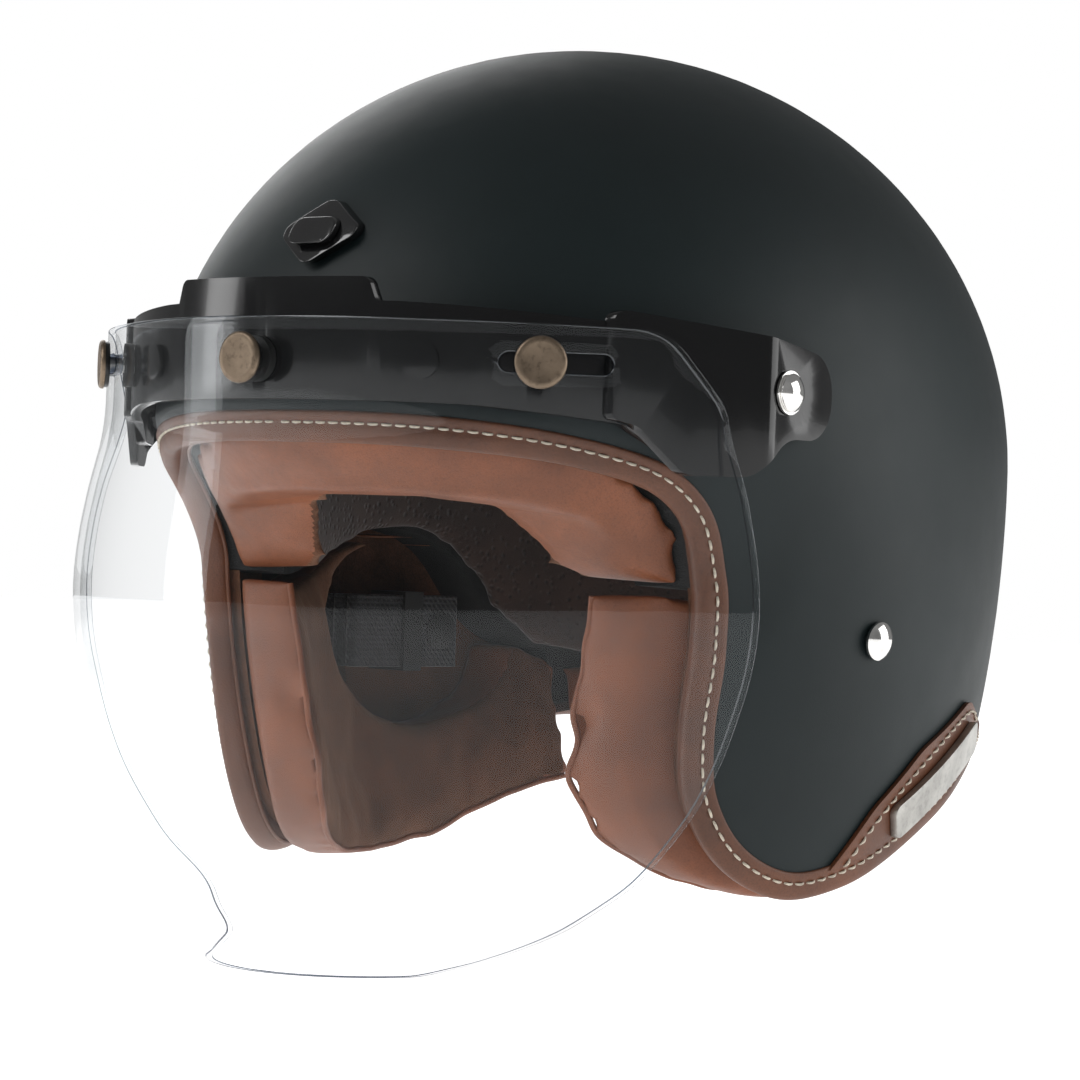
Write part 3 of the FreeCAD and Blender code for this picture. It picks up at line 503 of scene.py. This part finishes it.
def clear(name, tint, gloss_flat, gloss_edge, rough):
    """Clear sheet: see-through, with a gloss that grows where it's seen edge on."""
    material = bpy.data.materials.new(name)
    material.use_nodes = True
    tree = material.node_tree
    gloss = tree.nodes["Principled BSDF"]
    gloss.inputs["Base Color"].default_value = (0.9, 0.93, 0.95, 1)
    gloss.inputs["Metallic"].default_value = 1.0
    coords = tree.nodes.new("ShaderNodeTexCoord")
    smear = tree.nodes.new("ShaderNodeTexNoise")
    smear.inputs["Scale"].default_value = 11
    smear.inputs["Detail"].default_value = 5
    tree.links.new(coords.outputs["Object"], smear.inputs["Vector"])
    spread = tree.nodes.new("ShaderNodeMapRange")
    spread.inputs["To Min"].default_value = rough * 0.6
    spread.inputs["To Max"].default_value = rough * 1.8
    tree.links.new(smear.outputs["Fac"], spread.inputs["Value"])
    tree.links.new(spread.outputs["Result"], gloss.inputs["Roughness"])
    through_it = tree.nodes.new("ShaderNodeBsdfTransparent")
    through_it.inputs["Color"].default_value = (*tint, 1)
    edge_on = tree.nodes.new("ShaderNodeLayerWeight")
    edge_on.inputs["Blend"].default_value = 0.5
    power = tree.nodes.new("ShaderNodeMath")
    power.operation = "POWER"
    power.inputs[1].default_value = 4.0
    tree.links.new(edge_on.outputs["Facing"], power.inputs[0])
    gain = tree.nodes.new("ShaderNodeMapRange")
    gain.inputs["To Min"].default_value = gloss_flat
    gain.inputs["To Max"].default_value = gloss_edge
    tree.links.new(power.outputs["Value"], gain.inputs["Value"])
    mix = tree.nodes.new("ShaderNodeMixShader")
    tree.links.new(gain.outputs["Result"], mix.inputs["Fac"])
    tree.links.new(through_it.outputs["BSDF"], mix.inputs[1])
    tree.links.new(gloss.outputs["BSDF"], mix.inputs[2])
    tree.links.new(mix.outputs["Shader"], tree.nodes["Material Output"].inputs["Surface"])
    return material


SHELL = shell_finish()
EDGE_LEATHER = leather("edge_leather", (0.125, 0.043, 0.018), 0.44)
PAD_LEATHER = leather("pad_leather", (0.185, 0.056, 0.020), 0.46)
BROW_LEATHER = leather("brow_leather", (0.205, 0.063, 0.023), 0.44)
SUEDE = suede("pad_suede", (0.105, 0.043, 0.022))
LINING = lining_cloth("crown_cloth", (0.034, 0.017, 0.012))
BLACK = plastic("band_black", (0.004, 0.0042, 0.0045), 0.15, Specular_IOR_Level=0.30, Coat_Weight=0.2,
                Coat_Roughness=0.05)
EMBLEM = plastic("emblem_black", (0.005, 0.005, 0.0055), 0.16, Coat_Weight=0.6, Coat_Roughness=0.06)
BRONZE = metal("cap_bronze", (0.19, 0.145, 0.105), 0.42, spots=0.4)
BADGE = metal("badge_nickel", (0.42, 0.41, 0.385), 0.36, grain=0.00005, scale=420, spots=0.25)
CHROME = metal("chrome", (0.83, 0.82, 0.80), 0.10, grain=0.000006)
STEEL = metal("steel", (0.48, 0.48, 0.47), 0.34)
WEBBING = woven("webbing", (0.008, 0.008, 0.009))
RUBBER = plastic("keeper_rubber", (0.011, 0.011, 0.011), 0.62, fleck=0.00004)
FOAM = plastic("foam_black", (0.012, 0.012, 0.012), 0.85, fleck=0.0004)
COLLAR = plastic("cap_collar", (0.006, 0.006, 0.006), 0.35)
THREAD = thread()
CLEAR = clear("clear_shield", (0.975, 0.98, 0.983), 0.012, 0.42, 0.03)
# Shield cut edges: the dark tint is painted shade, standing in for the dark refraction lines along a clear
# edge.
SHIELD_EDGE_SHADE = clear("shield_edge_shade", (0.10, 0.12, 0.16), 0.10, 0.40, 0.06)


def paint(node, material):
    """Give a CAD node's own object a better material."""
    mesh_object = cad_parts[node]
    for place in mesh_object.material_slots:
        place.material = material


def finish_piece(piece, material, slot, *nodes, body="helmet", padded=None):
    if material:
        piece.data.materials.clear()
        piece.data.materials.append(material)
    if nodes:
        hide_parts(*nodes)
    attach(piece, body)
    return piece


# ---------------------------------------------------------------- pieces

def edged(node, name, width, material, slot, body="helmet"):
    """Copy of a hard CAD node with softened edges."""
    piece = copy_of(node, name)
    bevel = piece.modifiers.new("edge", "BEVEL")
    bevel.width = width * MM
    bevel.segments = 3
    bevel.limit_method = "ANGLE"
    bevel.angle_limit = EDGE_ANGLE
    bevel.use_clamp_overlap = True
    baked(piece)
    smooth(piece, 50)
    return finish_piece(piece, material, slot, node, body=body)


def rim_leather():
    """Leather edging all round the shell, with its thread stitches and inner seam."""
    rim = shell_rim()
    frames = []
    count = len(rim)
    for index, point in enumerate(rim):
        along = (rim[(index + 1) % count] - rim[index - 1]).normalized()
        out = skin_normal(point)
        away = along.cross(out).normalized()
        frames.append((out, away))
    if frames[count // 4][1].z > 0:
        frames = [(out, -away) for out, away in frames]
    done = 0.0
    verts = []
    for index, point in enumerate(rim):
        out, away = frames[index]
        pull = 0.16 * (1 + math.cos(2 * math.pi * done / STITCH_PITCH)) / 2
        slow = 0.18 * math.sin(done / 23.0) + 0.10 * math.sin(done / 9.1 + 1.3)
        for a, b in RIM_SECTION:
            near = math.exp(-((b - SEAM_AWAY) / 1.4) ** 2) if a > 0 else 0.0
            lump = slow * (1.0 if b > 3 else 0.2)
            raised = a - near * pull + (lump if a > 0 else 0)
            verts.append(point + out * raised + away * (b + lump * (b > 5)))
        done += (rim[(index + 1) % count] - point).length
    piece = new_object("rim_leather", verts, ring_faces(count, len(RIM_SECTION), True))
    tidy_normals(piece)
    smooth(piece, 60)
    finish_piece(piece, EDGE_LEATHER, "edge_leather", "rim_trim", padded=0.3)
    path = [point + out * 0.75 + away * SEAM_AWAY for point, (out, away) in zip(rim, frames)]
    path.append(path[0].copy())
    normals = [out for out, away in frames] + [frames[0][0]]
    row = stitch_row("rim_stitches", path, normals)
    finish_piece(row, THREAD, "edge_leather")
    seam = [point - out * 7.0 + away * 7.0 for point, (out, away) in zip(rim, frames)]
    cord = tube("rim_inner_seam", seam, 0.75, closed=True)
    finish_piece(cord, EDGE_LEATHER, "edge_leather")


def patch_pieces(side, sign):
    """Leather side patch with a row of stitches a little inside its upper edge."""
    edged(f"side_patch_{side}", f"patch_leather_{side}", 0.7, EDGE_LEATHER, "edge_leather")
    last_y, last_z = PATCH_TOP[-1]
    low = [(y + 2.6, z - 3.6) for y, z in PATCH_TOP[:-1]] + [(last_y - 2.0, last_z - 1.5)]
    path = evenly([Vector((sign * skin_x(p[0], p[1], 1.75), p[0], p[1])) for p in through(low, 16)], 0.8)
    normals = [skin_normal(p) for p in path]
    row = stitch_row(f"patch_stitches_{side}", path, normals)
    finish_piece(row, THREAD, "edge_leather")


def quilted(node, name, voxel, cap, outer, shrink=0.3, simulate=True):
    """Soft pad grown from its CAD solid by cloth pressure, and kept below the outset outer."""
    piece = copy_of(node, name)
    remesh = piece.modifiers.new("remesh", "REMESH")
    remesh.mode = "VOXEL"
    remesh.voxel_size = voxel * MM
    baked(piece)
    soften = piece.modifiers.new("soften", "SMOOTH")
    soften.factor = 0.5
    soften.iterations = 4
    baked(piece)
    normals = [v.normal.copy() for v in piece.data.vertices]
    for vertex, normal in zip(piece.data.vertices, normals):
        vertex.co -= normal * shrink * MM
    if simulate:
        start = [v.co.copy() for v in piece.data.vertices]
        cloth = piece.modifiers.new("cloth", "CLOTH")
        cloth.settings.quality = 4
        cloth.settings.use_pressure = True
        cloth.settings.uniform_pressure_force = PAD_PRESSURE
        cloth.settings.effector_weights.gravity = 0
        cloth.settings.tension_stiffness = 12
        cloth.settings.compression_stiffness = 12
        cloth.settings.bending_stiffness = 0.4
        cloth.point_cache.frame_start = 1
        cloth.point_cache.frame_end = PAD_FRAMES
        for number in range(1, PAD_FRAMES + 1):
            bpy.context.scene.frame_set(number)
        baked(piece)
        bpy.context.scene.frame_set(1)
        for vertex, before in zip(piece.data.vertices, start):
            move = vertex.co - before
            if move.length > cap * MM:
                vertex.co = before + move.normalized() * cap * MM
    for vertex in piece.data.vertices:
        over = outset(vertex.co * PER_METRE) - outer
        if over > 0:
            vertex.co -= skin_normal(vertex.co * PER_METRE) * over * MM
    smoother = piece.modifiers.new("smoother", "SMOOTH")
    smoother.factor = 0.5
    smoother.iterations = 3
    finer = piece.modifiers.new("finer", "SUBSURF")
    finer.levels = finer.render_levels = 1
    baked(piece)
    smooth(piece)
    return piece


def surface_of(piece):
    return BVHTree.FromPolygons([v.co for v in piece.data.vertices],
                                [tuple(p.vertices) for p in piece.data.polygons])


def cheek_pad(side, sign):
    """Cheek pad with leather outside, suede inside, and piping between them."""
    piece = quilted(f"cheek_pad_{side}", f"cheek_cushion_{side}", 2.8, 3.0, -12.3)
    finish_piece(piece, PAD_LEATHER, "pad_leather", f"cheek_pad_{side}", padded=0.6)
    piece.data.materials.append(SUEDE)
    for face in piece.data.polygons:
        if outset(face.center * PER_METRE) < CHEEK_SUEDE:
            face.material_index = 1
    tree = surface_of(piece)
    path = []
    for p in through(PAD_EDGE, 12):
        inner = Vector((sign * skin_x(p[0], p[1], -30.5), p[0], p[1]))
        near, normal = tree.find_nearest(inner * MM)[:2]
        path.append(near * PER_METRE + normal * 0.25)
    path = evenly(path, 1.6)
    for _ in range(6):
        path = [path[0]] + [(a + b * 2 + c) / 4 for a, b, c in zip(path, path[1:], path[2:])] + [path[-1]]
    cord = tube(f"cheek_piping_{side}", path, 1.0)
    finish_piece(cord, PAD_LEATHER, "pad_leather")


def brow_cushion():
    piece = quilted("brow_pad", "brow_cushion", 2.8, 3.0, -8.8)
    finish_piece(piece, BROW_LEATHER, "brow_leather", "brow_pad", padded=0.6)
    piece.data.materials.append(SUEDE)
    for face in piece.data.polygons:
        if outset(face.center * PER_METRE) < BROW_SUEDE:
            face.material_index = 1


def linings():
    crown = quilted("crown_liner", "crown_lining", 4.4, 2.0, -27.5, shrink=0.1, simulate=False)
    finish_piece(crown, LINING, "liner_fabric", "crown_liner", padded=0.4)
    neck = quilted("neck_roll", "neck_cushion", 3.6, 3.2, -27.6)
    finish_piece(neck, PAD_LEATHER, "liner_fabric", "neck_roll", padded=0.6)
    edged("neck_skirt", "neck_skirt_cloth", 0.5, LINING, "liner_fabric")


def shield():
    """Clear bubble: its two broad faces stay clear, and its cut edges take the second material, whose dark
    tint is painted shade standing in for the dark lines refraction makes along a clear edge.
    """
    piece = copy_of("visor_bubble", "shield")
    work = bmesh.new()
    work.from_mesh(piece.data)
    work.faces.ensure_lookup_table()
    group = {}
    areas = []
    for face in work.faces:
        if face.index in group:
            continue
        number = len(areas)
        areas.append(0.0)
        stack = [face]
        group[face.index] = number
        while stack:
            current = stack.pop()
            areas[number] += current.calc_area()
            for edge in current.edges:
                if len(edge.link_faces) != 2 or edge.calc_face_angle(0) > SHEET_ANGLE:
                    continue
                for other in edge.link_faces:
                    if other.index not in group:
                        group[other.index] = number
                        stack.append(other)
    broad = sorted(range(len(areas)), key=lambda k: -areas[k])[:2]
    for face in work.faces:
        face.material_index = 0 if group[face.index] in broad else 1
    work.to_mesh(piece.data)
    work.free()
    piece.data.materials.append(CLEAR)
    piece.data.materials.append(SHIELD_EDGE_SHADE)
    bevel = piece.modifiers.new("edge", "BEVEL")
    bevel.width = SHIELD_EDGE_WIDTH * MM
    bevel.segments = 2
    bevel.limit_method = "ANGLE"
    bevel.angle_limit = SHEET_ANGLE
    bevel.material = 1
    baked(piece)
    smooth(piece, 60)
    finish_piece(piece, None, "clear_shield", "visor_bubble", body="visor")


def snap_caps():
    """Round press caps, turned about their studs' axes."""
    marks = [mark for _, _, mark in CAP_PROFILE[1:] for _ in range(CAP_SIDES)]
    for side, degrees, low in CAP_PLACES:
        turn = math.radians(degrees)
        out = Vector((math.sin(turn), -math.cos(turn), 0))
        across = Vector((math.cos(turn), math.sin(turn), 0))
        centre = Vector(BAND_CENTRE) + out * low
        verts = []
        for radius, height, _ in CAP_PROFILE:
            for k in range(CAP_SIDES):
                a = 2 * math.pi * k / CAP_SIDES
                verts.append(centre + out * height + across * radius * math.cos(a)
                             + Vector((0, 0, radius * math.sin(a))))
        faces = ring_faces(len(CAP_PROFILE), CAP_SIDES, False)
        piece = new_object(f"press_cap_{side}", verts, faces)
        work = bmesh.new()
        work.from_mesh(piece.data)
        work.faces.ensure_lookup_table()
        for face, mark in zip(work.faces, marks):
            face.material_index = mark
        bmesh.ops.remove_doubles(work, verts=work.verts, dist=1e-6)
        bmesh.ops.recalc_face_normals(work, faces=work.faces)
        work.to_mesh(piece.data)
        work.free()
        smooth(piece, 40)
        piece.data.materials.append(BRONZE)
        piece.data.materials.append(COLLAR)
        finish_piece(piece, None, "cap_bronze", f"snap_cap_{side}", body=f"cap_{side}")


def hard_pieces():
    edged("visor_band", "flip_band", 0.5, BLACK, "band_black", body="visor")
    edged("emblem_base", "emblem_plate", 0.7, EMBLEM, "emblem_gloss")
    edged("emblem_boss", "emblem_raised", 0.8, EMBLEM, "emblem_gloss")
    for side in ("left", "right"):
        edged(f"band_ear_{side}", f"band_side_{side}", 0.5, BLACK, "band_black", body="visor")
        edged(f"band_button_{side}", f"band_stud_{side}", 0.35, BLACK, "band_black", body="visor")
        edged(f"badge_{side}", f"badge_plate_{side}", 0.8, BADGE, "badge_metal")
        edged(f"chin_strap_{side}", f"strap_webbing_{side}", 0.35, WEBBING, "webbing")
        paint(f"pivot_rivet_{side}", CHROME)
        paint(f"pivot_washer_{side}", CHROME)
        paint(f"strap_rivet_{side}", CHROME)
        paint(f"pivot_bush_{side}", RUBBER)
        paint(f"strap_anchor_{side}", STEEL)
        paint(f"cheek_core_{side}", SUEDE)
    for side in ("left", "centre", "right"):
        paint(f"snap_stud_{side}", STEEL)
        paint(f"snap_spacer_{side}", RUBBER)
    paint("outer_shell", SHELL)
    paint("foam_liner", FOAM)
    paint("d_ring_outer", CHROME)
    paint("d_ring_inner", CHROME)
    paint("strap_keeper", RUBBER)
    paint("strap_snap", RUBBER)


# ---------------------------------------------------------------- camera, light and floor

LIGHT_TARGET = (0, 0, -0.02)
CAMERA_TURN = (37.3368, -0.0475, 1.8514)    # azimuth, elevation and roll in degrees
CAMERA_DISTANCE = 1193.434                  # from the origin, along the view
CAMERA_ASIDE = (15.38588, 24.42207)             # how far the view's middle lies left of and below the origin
LENS = 124.951357
SENSOR_WIDTH = 36.0
FLOOR_REACH = 4.0

def camera():
    azimuth, elevation, roll = [math.radians(angle) for angle in CAMERA_TURN]
    back = Vector((math.sin(azimuth) * math.cos(elevation), -math.cos(azimuth) * math.cos(elevation),
                   math.sin(elevation)))
    right = (-back).cross(Vector((0, 0, 1))).normalized()
    up = right.cross(-back)
    across = math.cos(roll) * right + math.sin(roll) * up
    upright = -math.sin(roll) * right + math.cos(roll) * up
    place = (back * CAMERA_DISTANCE - across * CAMERA_ASIDE[0] - upright * CAMERA_ASIDE[1]) * MM
    data = bpy.data.cameras.new("camera")
    data.sensor_width = SENSOR_WIDTH
    data.lens = LENS
    matrix = Matrix((across, upright, back)).transposed().to_4x4()
    matrix.translation = place
    view = bpy.data.objects.new("camera", data)
    view.matrix_world = matrix
    bpy.context.collection.objects.link(view)
    bpy.context.scene.camera = view


def soft_light(name, place, size, power, tall=None):
    """Rectangular lamp that faces the helmet."""
    data = bpy.data.lights.new(name, "AREA")
    data.shape = "RECTANGLE"
    data.size = size
    data.size_y = tall or size
    data.energy = power
    lamp = bpy.data.objects.new(name, data)
    lamp.location = place
    lamp.rotation_euler = (Vector(LIGHT_TARGET) - Vector(place)).to_track_quat("-Z", "Y").to_euler()
    bpy.context.collection.objects.link(lamp)


def studio():
    world = bpy.data.worlds.new("studio")
    bpy.context.scene.world = world
    world.use_nodes = True
    tree = world.node_tree
    glow = tree.nodes["Background"]
    glow.inputs["Color"].default_value = (1, 1, 1, 1)
    paths = tree.nodes.new("ShaderNodeLightPath")
    dim = tree.nodes.new("ShaderNodeMapRange")
    dim.inputs["To Min"].default_value = 0.22
    dim.inputs["To Max"].default_value = 1.0
    tree.links.new(paths.outputs["Is Camera Ray"], dim.inputs["Value"])
    tree.links.new(dim.outputs["Result"], glow.inputs["Strength"])
    low = CAD_BOX[0][2] - 0.001
    corners = [(a * FLOOR_REACH, b * FLOOR_REACH, low) for a, b in ((-1, -1), (1, -1), (1, 1), (-1, 1))]
    floor = new_object("floor", corners, [(0, 1, 2, 3)], 1.0)
    pale = Finish("floor", (0.93, 0.93, 0.93), 0.8, Specular_IOR_Level=0.1)
    pale.shader.inputs["Emission Color"].default_value = (1, 1, 1, 1)
    pale.shader.inputs["Emission Strength"].default_value = 0.88
    floor.data.materials.append(pale.material)
    soft_light("key", (-0.75, -1.6, 1.3), 1.0, 15)
    soft_light("right_wall", (1.5, 1.0, 0.45), 1.3, 15)
    soft_light("left_back", (-1.4, 0.9, 0.8), 1.0, 9)
    soft_light("left_strip", (-1.45, -1.0, 0.2), 0.4, 7, tall=1.1)


rim_leather()
for side_name, side_sign in (("left", 1), ("right", -1)):
    patch_pieces(side_name, side_sign)
    cheek_pad(side_name, side_sign)
brow_cushion()
linings()
shield()
snap_caps()
hard_pieces()
camera()
studio()
bpy.context.scene.view_settings.view_transform = "Standard"
